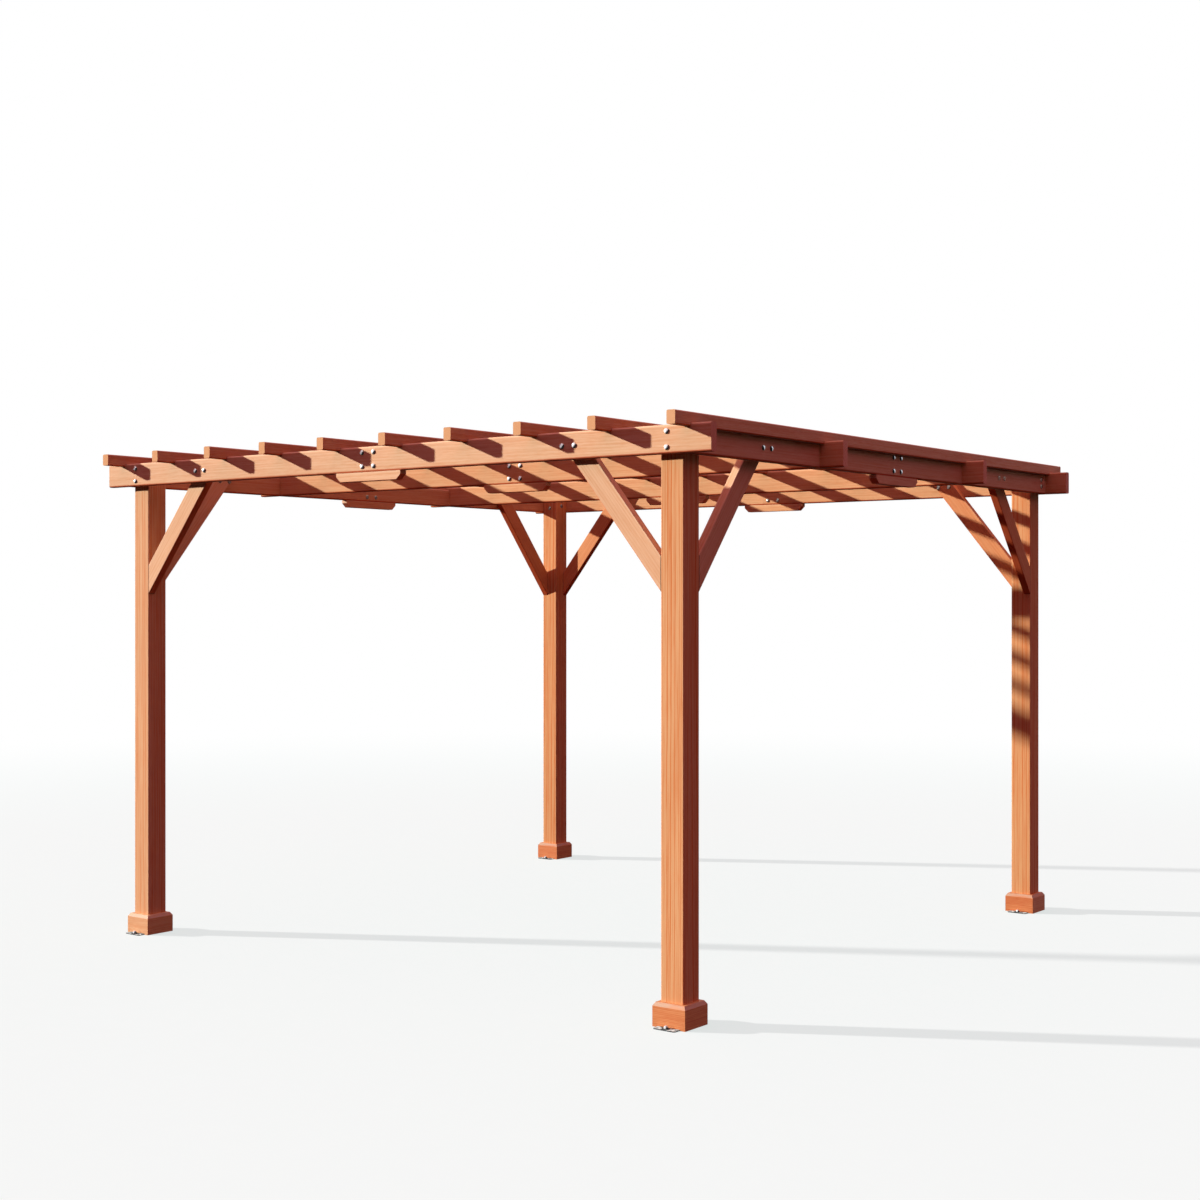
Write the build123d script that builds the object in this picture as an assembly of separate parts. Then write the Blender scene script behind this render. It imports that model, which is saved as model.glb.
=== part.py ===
from build123d import *

import os
from math import cos, radians, sin, sqrt, tan

# Cedar garden pergola, in millimetres. +Z is up, +X runs along the front beam and +Y runs from the
# front beam to the back one. The origin is at ground level, under the middle of the roof.

# Plan and height
POST_PITCH = 3242.0  # from post centre to post centre, the same along X and along Y
BEAM_UNDERSIDE = 2234.0  # from the ground to the underside of every beam

# Posts
POST_SIDE = 108.0
POST_EASING = 4.0  # radius on the long edges

# Beams
BEAM_HEIGHT = 113.0
BEAM_THICKNESS = 38.0
BEAM_OVERHANG = 154.0  # past the posts' outer faces, at the left and right
INNER_BEAM_OFFSET = 685.0  # from the middle to the centre line of each inner beam
BEAM_EASING = 9.0

# Slats
SLAT_COUNT = 10
SLAT_WIDTH = 40.0
SLAT_HEIGHT = 55.0
SLAT_NOTCH_DEPTH = 12.0
SLAT_END_OVERHANG = 108.0  # past the outer faces of the front and back beams
SLAT_SIDE_OVERHANG = 62.0  # outermost slat's outer face, past the posts' outer faces
SLAT_EASING = 6.0

# Knee braces
BRACE_WIDTH = 90.0
BRACE_THICKNESS = 38.0
BRACE_ANGLE = 39.3  # degrees from upright
BRACE_DROP = 536.0  # from the beams' underside down to the lowest point on the post
BRACE_EASING = 3.0

# Half-lapped splices and the blocks under them
SPLICE_LAP = 140.0
SPLICE_BLOCK_LENGTH = 396.0
SPLICE_BLOCK_HEIGHT = 40.0
SPLICE_BLOCK_CLIP_RUN = 26.0
SPLICE_BLOCK_CLIP_RISE = 24.0
SPLICE_BLOCK_EASING = 2.0

# Plinths
PLINTH_BOARD = 24.0  # thickness of the boards
PLINTH_HEIGHT = 96.0
PLINTH_CHAMFER_RUN = 10.0
PLINTH_CHAMFER_RISE = 15.0

# Anchor brackets
BRACKET_GAUGE = 4.0
BRACKET_WIDTH = 104.0
BRACKET_TONGUE = 36.0  # past the plinth's front face
BRACKET_COVER = 24.0  # from the top of the upstand to the top of the plinth
BRACKET_CORNER_RADIUS = 10.0
ANCHOR_HOLE_DIAMETER = 13.0

# Clearances
CHEEK_CLEARANCE = 0.3  # each side of a beam in its lap or notch
MITRE_CLEARANCE = 0.4  # between neighbouring plinth boards
POCKET_CLEARANCE = 1.0  # round a bracket in its plinth
BRACE_HEAD_CLEARANCE = 6.0  # from a brace's level cut up to the slats

# Places that follow from the sizes above
POST_CENTRE = POST_PITCH / 2
POST_OUTER = POST_CENTRE + POST_SIDE / 2
POST_INNER = POST_CENTRE - POST_SIDE / 2
BEAM_TOP = BEAM_UNDERSIDE + BEAM_HEIGHT
BEAM_END = POST_OUTER + BEAM_OVERHANG
BEAM_OUTER_FACE = POST_OUTER + BEAM_THICKNESS
OUTER_BEAM_OFFSET = POST_OUTER + BEAM_THICKNESS / 2
SLAT_UNDERSIDE = BEAM_TOP - SLAT_NOTCH_DEPTH
SLAT_TOP = SLAT_UNDERSIDE + SLAT_HEIGHT
CROSS_LAP_LEVEL = (BEAM_UNDERSIDE + SLAT_UNDERSIDE) / 2
NOTCH_WIDTH = BEAM_THICKNESS + 2 * CHEEK_CLEARANCE
PLINTH_SIDE = POST_SIDE + 2 * PLINTH_BOARD
CROSS_BEAMS = {
    "front": -OUTER_BEAM_OFFSET,
    "second": -INNER_BEAM_OFFSET,
    "third": INNER_BEAM_OFFSET,
    "back": OUTER_BEAM_OFFSET,
}
SIDES = {"left": -1, "right": 1}
ENDS = {"front": -1, "back": 1}


def block(x, y, z):
    """A block that fills the given (low, high) range along each axis."""
    centre = Pos(sum(x) / 2, sum(y) / 2, sum(z) / 2)
    return centre * Box(x[1] - x[0], y[1] - y[0], z[1] - z[0])


def eased(solid, axis, radius):
    """The solid with every edge along one axis rounded."""
    return fillet(solid.edges().filter_by(axis), radius)


def post(side, end):
    """A square post from the ground to the underside of the slats."""
    upright = Box(POST_SIDE, POST_SIDE, SLAT_UNDERSIDE, align=(Align.CENTER, Align.CENTER, Align.MIN))
    return Pos(side * POST_CENTRE, end * POST_CENTRE, 0) * eased(upright, Axis.Z, POST_EASING)


def lapped_length(outer_end, top, tongue_side):
    """A beam half along X: its tongue reaches past the middle and keeps one half of the thickness."""
    thickness = (-BEAM_THICKNESS / 2, BEAM_THICKNESS / 2)
    half = block((-SPLICE_LAP / 2, outer_end), thickness, (BEAM_UNDERSIDE, top))
    half = eased(half, Axis.X, BEAM_EASING)
    waste = sorted((0, -tongue_side * BEAM_THICKNESS / 2))
    return half - block((-SPLICE_LAP / 2, SPLICE_LAP / 2), waste, (BEAM_UNDERSIDE, top))


def crossing_housing(offset, z):
    """The room that a beam along X gives up where another one crosses it."""
    reach = (offset - NOTCH_WIDTH / 2, offset + NOTCH_WIDTH / 2)
    return block(reach, (-BEAM_THICKNESS / 2, BEAM_THICKNESS / 2), z)


def cross_beam_half(side, offset):
    """Half of a beam that runs from left to right, with a square outer end."""
    half = lapped_length(BEAM_END, BEAM_TOP, -side)
    if abs(offset) < POST_CENTRE:
        half -= crossing_housing(OUTER_BEAM_OFFSET, (BEAM_UNDERSIDE, CROSS_LAP_LEVEL))
    if side < 0:
        half = half.mirror(Plane.YZ)
    return Pos(0, offset, 0) * half


def side_beam_half(side, end):
    """Half of a beam that runs from the middle to the inner face of the front or back beam."""
    half = lapped_length(POST_OUTER, SLAT_UNDERSIDE, -end)
    half -= crossing_housing(INNER_BEAM_OFFSET, (CROSS_LAP_LEVEL, SLAT_UNDERSIDE))
    if end < 0:
        half = half.mirror(Plane.YZ)
    return Pos(side * OUTER_BEAM_OFFSET, 0, 0) * Rot(0, 0, 90) * half


def splice_block():
    """The block under a splice, its lower corners clipped, along X under the middle."""
    half = SPLICE_BLOCK_LENGTH / 2
    clip_top = SPLICE_BLOCK_CLIP_RISE - SPLICE_BLOCK_HEIGHT
    clip_foot = half - SPLICE_BLOCK_CLIP_RUN
    outline = Polyline(
        (-half, 0),
        (half, 0),
        (half, clip_top),
        (clip_foot, -SPLICE_BLOCK_HEIGHT),
        (-clip_foot, -SPLICE_BLOCK_HEIGHT),
        (-half, clip_top),
        close=True,
    )
    solid = extrude(Plane.XZ * make_face(outline), BEAM_THICKNESS / 2, both=True)
    lower_edges = solid.edges().filter_by(Axis.X).group_by(Axis.Z)[0]
    return Pos(0, 0, BEAM_UNDERSIDE) * fillet(lower_edges, SPLICE_BLOCK_EASING)


def knee_brace():
    """A brace along X that rises from the plane X = 0 with a plumb foot and a level head."""
    angle = radians(BRACE_ANGLE)
    toe = BEAM_UNDERSIDE - BRACE_DROP
    head = SLAT_UNDERSIDE - BRACE_HEAD_CLEARANCE
    heel = toe + BRACE_WIDTH / sin(angle)
    head_reach = (head - toe) * tan(angle)
    outline = Polyline(
        (0, toe),
        (head_reach, head),
        (head_reach - BRACE_WIDTH / cos(angle), head),
        (0, heel),
        close=True,
    )
    solid = extrude(Plane.XZ * make_face(outline), BRACE_THICKNESS / 2, both=True)
    square_edges = [edge for axis in (Axis.X, Axis.Y, Axis.Z) for edge in solid.edges().filter_by(axis)]
    return fillet(solid.edges() - square_edges, BRACE_EASING)


def cross_brace(side, end):
    """A knee brace behind the front or back beam, its outer face flush with the post's."""
    turn = Rot(0, 0, 180) if side > 0 else Rot(0, 0, 0)
    return Pos(side * POST_INNER, end * (POST_OUTER - BRACE_THICKNESS / 2), 0) * turn * knee_brace()


def side_brace(side, end):
    """A knee brace behind a side beam, its outer face flush with the post's."""
    turn = Rot(0, 0, -end * 90)
    return Pos(side * (POST_OUTER - BRACE_THICKNESS / 2), end * POST_INNER, 0) * turn * knee_brace()


def slat(x):
    """A slat along Y, let down over the four beams that cross under it."""
    reach = BEAM_OUTER_FACE + SLAT_END_OVERHANG
    across = (-SLAT_WIDTH / 2, SLAT_WIDTH / 2)
    bar = eased(block(across, (-reach, reach), (SLAT_UNDERSIDE, SLAT_TOP)), Axis.Y, SLAT_EASING)
    for offset in CROSS_BEAMS.values():
        notch = (offset - NOTCH_WIDTH / 2, offset + NOTCH_WIDTH / 2)
        bar -= block(across, notch, (SLAT_UNDERSIDE, BEAM_TOP))
    return Pos(x, 0, 0) * bar


def plinth_board():
    """The front board of a plinth about the origin, chamfered on top and mitred at both ends."""
    outer = -PLINTH_SIDE / 2
    inner = -POST_SIDE / 2
    profile = Polyline(
        (inner, 0),
        (outer, 0),
        (outer, PLINTH_HEIGHT - PLINTH_CHAMFER_RISE),
        (outer + PLINTH_CHAMFER_RUN, PLINTH_HEIGHT),
        (inner, PLINTH_HEIGHT),
        close=True,
    )
    board = extrude(Plane.YZ * make_face(profile), PLINTH_SIDE / 2, both=True)
    apex = -MITRE_CLEARANCE / sqrt(2)
    mitres = make_face(Polyline((0, apex), (-PLINTH_SIDE, apex - PLINTH_SIDE), (PLINTH_SIDE, apex - PLINTH_SIDE),
                                close=True))
    return board & extrude(mitres, PLINTH_HEIGHT)


def bracket_relief():
    """The slot and the pocket in a plinth's front board for an anchor bracket."""
    width = BRACKET_WIDTH / 2 + POCKET_CLEARANCE
    depth = BRACKET_GAUGE + POCKET_CLEARANCE
    inner = -POST_SIDE / 2
    slot = block((-width, width), (-PLINTH_SIDE / 2, inner), (0, depth))
    upstand_top = PLINTH_HEIGHT - BRACKET_COVER
    return slot + block((-width, width), (inner - depth, inner), (0, upstand_top + POCKET_CLEARANCE))


def plinth(side, end):
    """The four boards round a post's foot."""
    board = plinth_board()
    boards = [board - bracket_relief()]
    boards += [Rot(0, 0, turn) * board for turn in (90, 180, 270)]
    return [Pos(side * POST_CENTRE, end * POST_CENTRE, 0) * each for each in boards]


def anchor_bracket(side, end):
    """A steel angle on a post's front face, its tongue out on the ground past the plinth."""
    tongue_end = -PLINTH_BOARD - BRACKET_TONGUE
    upstand_top = PLINTH_HEIGHT - BRACKET_COVER
    profile = Polyline(
        (0, 0),
        (tongue_end, 0),
        (tongue_end, BRACKET_GAUGE),
        (-BRACKET_GAUGE, BRACKET_GAUGE),
        (-BRACKET_GAUGE, upstand_top),
        (0, upstand_top),
        close=True,
    )
    angle = extrude(Plane.YZ * make_face(profile), BRACKET_WIDTH / 2, both=True)
    angle = fillet(angle.edges().filter_by(Axis.Z).group_by(Axis.Y)[0], BRACKET_CORNER_RADIUS)
    hole = Cylinder(ANCHOR_HOLE_DIAMETER / 2, 4 * BRACKET_GAUGE)
    angle -= Pos(0, tongue_end + BRACKET_TONGUE / 2, 0) * hole
    return Pos(side * POST_CENTRE, end * POST_CENTRE - POST_SIDE / 2, 0) * angle


def save(name, *shapes):
    """Writes one node: a solid, or several that stand apart."""
    solids = [solid for shape in shapes for solid in shape.solids()]
    export_step(solids[0] if len(solids) == 1 else Compound(children=solids), f"parts/{name}.step")


def main():
    os.makedirs("parts", exist_ok=True)
    brackets = []
    for end_name, end in ENDS.items():
        for side_name, side in SIDES.items():
            corner = f"{end_name}_{side_name}"
            save(f"{corner}_post", post(side, end))
            save(f"{corner}_plinth", *plinth(side, end))
            save(f"{corner}_cross_brace", cross_brace(side, end))
            save(f"{corner}_side_brace", side_brace(side, end))
            brackets.append(anchor_bracket(side, end))
    save("anchor_brackets", *brackets)
    for beam_name, offset in CROSS_BEAMS.items():
        for side_name, side in SIDES.items():
            save(f"{beam_name}_beam_{side_name}_half", cross_beam_half(side, offset))
        save(f"{beam_name}_splice_block", Pos(0, offset, 0) * splice_block())
    for side_name, side in SIDES.items():
        for end_name, end in ENDS.items():
            save(f"{side_name}_beam_{end_name}_half", side_beam_half(side, end))
        turned_block = Rot(0, 0, 90) * splice_block()
        save(f"{side_name}_splice_block", Pos(side * OUTER_BEAM_OFFSET, 0, 0) * turned_block)
    outermost = POST_OUTER + SLAT_SIDE_OVERHANG - SLAT_WIDTH / 2
    for index in range(SLAT_COUNT):
        share = index / (SLAT_COUNT - 1)
        save(f"slat_{index + 1:02d}", slat(outermost * (2 * share - 1)))


main()
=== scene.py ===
"""A garden pergola in red-brown stained cedar: its finishes, bolts, floor, light and camera."""

import logging
import math
import random
from collections.abc import Sequence
from dataclasses import dataclass, field
from enum import Enum
from itertools import product

import bmesh
import bpy
from mathutils import Matrix, Vector


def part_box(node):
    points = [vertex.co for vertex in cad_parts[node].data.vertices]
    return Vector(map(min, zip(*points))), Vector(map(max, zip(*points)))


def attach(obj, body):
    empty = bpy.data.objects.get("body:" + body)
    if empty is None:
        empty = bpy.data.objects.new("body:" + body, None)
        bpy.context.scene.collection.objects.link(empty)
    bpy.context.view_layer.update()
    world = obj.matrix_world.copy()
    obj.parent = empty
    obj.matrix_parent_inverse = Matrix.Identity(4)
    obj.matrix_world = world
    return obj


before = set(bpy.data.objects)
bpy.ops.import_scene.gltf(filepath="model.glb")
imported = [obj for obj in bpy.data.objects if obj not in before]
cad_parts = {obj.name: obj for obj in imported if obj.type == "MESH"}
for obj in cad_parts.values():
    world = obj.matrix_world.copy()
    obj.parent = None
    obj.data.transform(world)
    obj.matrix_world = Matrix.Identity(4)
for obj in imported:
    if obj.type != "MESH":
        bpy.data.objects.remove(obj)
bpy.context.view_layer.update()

LOG = logging.getLogger("pergola")

X_AXIS = Vector((1.0, 0.0, 0.0))
Y_AXIS = Vector((0.0, 1.0, 0.0))
Z_AXIS = Vector((0.0, 0.0, 1.0))

Colour = tuple[float, float, float, float]
Shade = tuple[int, int, int]
Profile = Sequence[tuple[float, float]]
Operand = "Signal | float | Sequence[float]"

WHITE: Colour = (1.0, 1.0, 1.0, 1.0)


class Place(Enum):
    """A way out from the middle of the pergola, as a sign along one axis."""

    @property
    def word(self) -> str:
        """Its name in the names of nodes."""
        return self.name.lower()


class Side(Place):
    """The two sides of the pergola, as the sign of X."""

    LEFT = -1
    RIGHT = 1


class End(Place):
    """The two ends of the pergola, as the sign of Y."""

    FRONT = -1
    BACK = 1


class Way(Enum):
    """The way that a beam runs, as it stands in the names of nodes."""

    CROSS = "cross"
    SIDE = "side"


class Wear(Enum):
    """Which long edges of a member are painted pale, partly as wear and partly as a painted highlight."""

    ALL = "all"
    UPPER = "upper"


def painted(red: int, green: int, blue: int) -> Colour:
    """Turns a colour as a screen shows it into the linear one that a shader takes.

    Args:
        red: Red, from 0 to 255.
        green: Green, from 0 to 255.
        blue: Blue, from 0 to 255.

    Returns:
        The linear colour with an alpha of 1.
    """
    shares = (channel / 255 for channel in (red, green, blue))
    linear = (share / 12.92 if share <= 0.04045 else ((share + 0.055) / 1.055) ** 2.4 for share in shares)
    return (*linear, 1.0)


class Signal:
    """An output socket that shader maths is written on, as in 1 - mask or noise * 0.2."""

    def __init__(self, graph: "NodeGraph", socket: bpy.types.NodeSocket) -> None:
        """Wraps one socket of one graph."""
        self.graph = graph
        self.socket = socket

    def __add__(self, other: Operand) -> "Signal":
        """This signal plus another."""
        return self.graph.maths("ADD", self, other)

    def __radd__(self, other: Operand) -> "Signal":
        """Another value plus this signal."""
        return self.graph.maths("ADD", other, self)

    def __sub__(self, other: Operand) -> "Signal":
        """This signal less another."""
        return self.graph.maths("SUBTRACT", self, other)

    def __rsub__(self, other: Operand) -> "Signal":
        """Another value less this signal."""
        return self.graph.maths("SUBTRACT", other, self)

    def __mul__(self, other: Operand) -> "Signal":
        """This signal times another."""
        return self.graph.maths("MULTIPLY", self, other)

    def __rmul__(self, other: Operand) -> "Signal":
        """Another value times this signal."""
        return self.graph.maths("MULTIPLY", other, self)

    def __abs__(self) -> "Signal":
        """This signal without its sign."""
        return self.graph.maths("ABSOLUTE", self)

    def dot(self, direction: Sequence[float]) -> "Signal":
        """How far this vector reaches along a direction."""
        return self.graph.maths("DOT_PRODUCT", self, direction, output="Value")

    def length(self) -> "Signal":
        """The length of this vector."""
        return self.graph.maths("LENGTH", self, output="Value")

    def fraction(self) -> "Signal":
        """What is left of this number past its whole part."""
        return self.graph.maths("FRACT", self)

    def above(self, threshold: Operand) -> "Signal":
        """1 where this number is greater than the threshold, and 0 elsewhere."""
        return self.graph.maths("GREATER_THAN", self, threshold)

    def rising(self, low: Operand, high: Operand) -> "Signal":
        """A smooth step from 0 at low to 1 at high."""
        inputs = {"Value": self, "From Min": low, "From Max": high}
        return self.graph.node("ShaderNodeMapRange", {"interpolation_type": "SMOOTHSTEP"}, inputs)


class NodeGraph:
    """A node tree that is written as expressions."""

    def __init__(self, tree: bpy.types.NodeTree) -> None:
        """Takes the tree and empties it."""
        self.tree = tree
        tree.nodes.clear()

    def node(
        self,
        kind: str,
        settings: dict[str, object],
        inputs: dict[str | int, Operand],
        output: str | int = 0,
    ) -> Signal:
        """Adds one node.

        Args:
            kind: The node's type name.
            settings: Values of its properties, which are set first.
            inputs: Values or links of its sockets, by name or place.
            output: The output that the result stands for, by name or place.

        Returns:
            That output, ready for more maths.
        """
        node = self.tree.nodes.new(kind)
        for name, value in settings.items():
            setattr(node, name, value)
        for place, value in inputs.items():
            if isinstance(value, Signal):
                self.tree.links.new(value.socket, node.inputs[place])
            else:
                node.inputs[place].default_value = value
        return Signal(self, node.outputs[output] if node.outputs else None)

    def maths(self, operation: str, *operands: Operand, output: str | int = 0) -> Signal:
        """Adds a Math node, or a Vector Math node where an operand is a vector or a colour.

        Args:
            operation: The node's operation.
            operands: Signals, numbers or vectors.
            output: The output that the result stands for.

        Returns:
            The result.
        """
        kinds = [item.socket.type if isinstance(item, Signal) else type(item) for item in operands]
        if all(kind in ("VALUE", int, float) for kind in kinds):
            return self.node("ShaderNodeMath", {"operation": operation}, dict(enumerate(operands)), output)
        spread = [(item,) * 3 if isinstance(item, (int, float)) else item for item in operands]
        return self.node("ShaderNodeVectorMath", {"operation": operation}, dict(enumerate(spread)), output)

    def mixed(self, share: Operand, first: Operand, second: Operand) -> Signal:
        """Blends two colours.

        Args:
            share: How much of the second colour shows, from 0 to 1.
            first: The first colour.
            second: The second colour.

        Returns:
            The blend.
        """
        return self.node("ShaderNodeMix", {"data_type": "RGBA"}, {0: share, 6: first, 7: second}, 2)

    def noise(self, place: Signal, detail: float = 2.0, output: str = "Fac") -> Signal:
        """Cloudy noise with one cloud to a unit of place."""
        return self.node("ShaderNodeTexNoise", {}, {"Vector": place, "Scale": 1.0, "Detail": detail}, output)

    def joined(self, x: Operand, y: Operand, z: Operand) -> Signal:
        """A vector of three numbers."""
        return self.node("ShaderNodeCombineXYZ", {}, {0: x, 1: y, 2: z})

    def place(self) -> Signal:
        """The point that is shaded, in metres in the piece's own axes."""
        return self.node("ShaderNodeTexCoord", {}, {}, "Object")

    def facing(self, output: str = "Normal") -> Signal:
        """The direction that the surface faces in."""
        return self.node("ShaderNodeNewGeometry", {}, {}, output)

    def relief(self, height: Signal, strength: float, depth: float) -> Signal:
        """The direction that the surface faces in once a height has raised it."""
        inputs = {"Strength": strength, "Distance": depth, "Height": height}
        return self.node("ShaderNodeBump", {}, inputs, "Normal")

    def finish(self, shader: Signal) -> None:
        """Makes a shader the material's surface."""
        self.node("ShaderNodeOutputMaterial", {}, {"Surface": shader})


def empty_material(name: str) -> tuple[bpy.types.Material, NodeGraph]:
    """Makes a material with no nodes yet.

    Args:
        name: The material's name.

    Returns:
        The material and its graph.
    """
    material = bpy.data.materials.new(name)
    material.use_nodes = True
    return material, NodeGraph(material.node_tree)


@dataclass(frozen=True)
class CedarTone:
    """The colours of one group of cedar members under its stain."""

    early: Colour
    late: Colour
    end: Colour
    worn: Colour
    edge_wear: float

    @classmethod
    def stained(cls, early: Shade, late: Shade, end: Shade, worn: Shade, edge_wear: float) -> "CedarTone":
        """Makes a tone from colours as a screen shows them."""
        return cls(painted(*early), painted(*late), painted(*end), painted(*worn), edge_wear)


# The fourth colour of each tone goes on the pale edges: partly wear and partly a painted highlight where
# rounded top edges catch the light, and on the plinths painted sky light on the chamfers.
POST_TONE = CedarTone.stained((222, 173, 123), (207, 119, 63), (196, 122, 84), (230, 176, 132), 0.40)
BACK_POST_TONE = CedarTone.stained((221, 168, 116), (205, 111, 56), (196, 122, 84), (230, 172, 126), 0.40)
PALE_POST_TONE = CedarTone.stained((226, 182, 137), (212, 132, 80), (196, 122, 84), (232, 182, 140), 0.40)
BEAM_TONE = CedarTone.stained((230, 190, 151), (213, 155, 109), (226, 176, 146), (238, 204, 164), 0.60)
# The pale cut-end colour of the inner beam tone, which the back brace tone shares, paints a sheen on the
# shaded cut ends.
INNER_BEAM_TONE = CedarTone.stained((221, 173, 127), (205, 139, 90), (242, 200, 168), (234, 194, 150), 0.50)
BACK_BRACE_TONE = CedarTone.stained((220, 157, 107), (204, 124, 75), (242, 200, 168), (234, 188, 142), 0.50)
SLAT_TONE = CedarTone.stained((220, 169, 132), (203, 127, 84), (223, 175, 127), (238, 196, 160), 0.45)
PLINTH_TONE = CedarTone.stained((216, 144, 90), (196, 104, 54), (184, 102, 66), (190, 165, 137), 0.90)
BACK_PLINTH_TONE = CedarTone.stained((210, 134, 82), (190, 93, 47), (184, 102, 66), (188, 158, 130), 0.90)
PALE_PLINTH_TONE = CedarTone.stained((219, 171, 125), (204, 138, 88), (184, 102, 66), (200, 176, 146), 0.90)


@dataclass(frozen=True)
class Sawing:
    """How growth rings and streaks show on one kind of timber, from the way that it was sawn."""

    ring_gap: float = 0.0046
    ring_start: float = 0.40
    ring_depth: float = 0.42
    figure: float = 1.0
    fleck: float = 1.0


FINE_SAWING = Sawing()
POST_SAWING = Sawing(ring_gap=0.0115, ring_start=0.74, ring_depth=0.56, figure=1.15, fleck=0.30)
BRACE_SAWING = Sawing(ring_gap=0.0090, ring_depth=0.20, figure=0.65)
BEAM_SAWING = Sawing(ring_gap=0.0095, ring_depth=0.20, figure=0.80)


@dataclass(frozen=True)
class Layer:
    """Noise drawn out along the grain, with how often it repeats in a metre along and across."""

    along: float
    across: float
    detail: float = 2.0
    contrast: tuple[float, float] | None = None

    def spread(
        self, graph: NodeGraph, place: Signal, shift: Vector, stretch: float = 1.0, output: str = "Fac"
    ) -> Signal:
        """Lays the noise over a member.

        Args:
            graph: The material's graph.
            place: The point in the member's own axes.
            shift: Where in the noise the member lies.
            stretch: How many times as often it repeats along the grain.
            output: The noise's output, a number or a colour.

        Returns:
            The noise, sharpened to its contrast where it has one.
        """
        pace = Vector((self.along * stretch, self.across, self.across))
        noise = graph.noise(place * pace + shift, self.detail, output)
        return noise.rising(*self.contrast) if self.contrast else noise


WANDER = Layer(0.7, 3.0)
RIPPLE = Layer(5.0, 20.0)
BROAD = Layer(0.8, 40.0, contrast=(0.34, 0.68))
STREAK = Layer(4.5, 125.0, contrast=(0.36, 0.66))
DASH = Layer(26.0, 260.0, contrast=(0.40, 0.72))
FIBRE = Layer(70.0, 640.0)
CLOUD = Layer(1.6, 7.0, detail=3.0)
PORES = Layer(900.0, 900.0)
SCUFF = Layer(9.0, 60.0, detail=3.0, contrast=(0.30, 0.62))


@dataclass(frozen=True)
class Tree:
    """How the rings of the tree that a member was sawn from lie in it."""

    pith_reach: tuple[float, float] = (0.07, 0.12)
    lean_reach: tuple[float, float] = (0.002, 0.006)
    lean_back: float = 0.6
    noise_reach: float = 50.0
    stain_reach: float = 0.04
    wander: float = 0.016
    ripple: float = 0.0022
    season_pace: float = 46.0
    season_sway: float = 1.8
    late_full: float = 0.90
    late_falls: float = 0.93
    late_mean: float = 0.58


@dataclass(frozen=True)
class Stain:
    """How strongly each mark of the grain shows through the stain."""

    broad: float = 0.14
    streak: float = 0.34
    dash: float = 0.24
    fibre: float = 0.40
    pale_depth: float = -0.1
    full_depth: float = 1.1
    cloud: float = 0.16
    fibre_shade: float = 0.16
    sawn_late: float = 0.7
    sawn_low: float = 0.86
    sawn_pores: float = 0.28
    worn_least: float = 0.35


@dataclass(frozen=True)
class Planing:
    """How rough each mark of the grain is, and how high it stands, on a planed member."""

    rough: float = 0.56
    rough_fibre: float = 0.16
    rough_late: float = -0.05
    rough_worn: float = 0.06
    rough_cut: float = 0.20
    rough_below: float = 0.40
    below_from: float = 0.1
    below_full: float = 0.8
    high_fibre: float = 0.5
    high_late: float = 0.35
    high_dash: float = 0.2
    high_pores: float = 0.4
    relief_strength: float = 0.3
    relief_depth: float = 0.0005


@dataclass(frozen=True)
class Exposure:
    """Painted light and shade: a tint on the faces that look one way, for how the light falls on them."""

    facing: Vector
    starts: float
    full: float
    tint: Colour


TREE = Tree()
STAIN = Stain()
PLANING = Planing()
# Painted light and shade by facing: lower roundings redder and undersides darker for the shade under them;
# the sunny left sides darker so the low sun does not wash them out; tops paler and cooler against the red
# sky light on them.
PAINTED_LOWER_EDGE_SHADE = Exposure(-Z_AXIS, 0.02, 0.45, (1.0, 0.42, 0.34, 1.0))
PAINTED_UNDERSIDE_SHADE = Exposure(-Z_AXIS, 0.78, 0.97, (0.34, 0.40, 0.46, 1.0))
PAINTED_SUNNY_SIDE_SHADE = Exposure(-X_AXIS, 0.40, 0.90, (0.60, 0.56, 0.55, 1.0))
PAINTED_TOP_LIGHT = Exposure(Z_AXIS, 0.80, 0.98, (0.94, 1.20, 1.28, 1.0))


@dataclass(frozen=True)
class Grain:
    """The signals that the look of one member is mixed from, and how much lighter its stain is."""

    late: Signal
    broad: Signal
    streak: Signal
    dash: Signal
    fibre: Signal
    cloud: Signal
    pores: Signal
    scuff: Signal
    stain: float


@dataclass(frozen=True)
class Seam:
    """A joint that shows as a dark line on a member where it meets its neighbour."""

    facing: Vector
    reach: float
    width: float = 0.0030
    full_width: float = 0.0015
    darkness: float = 0.6


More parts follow.
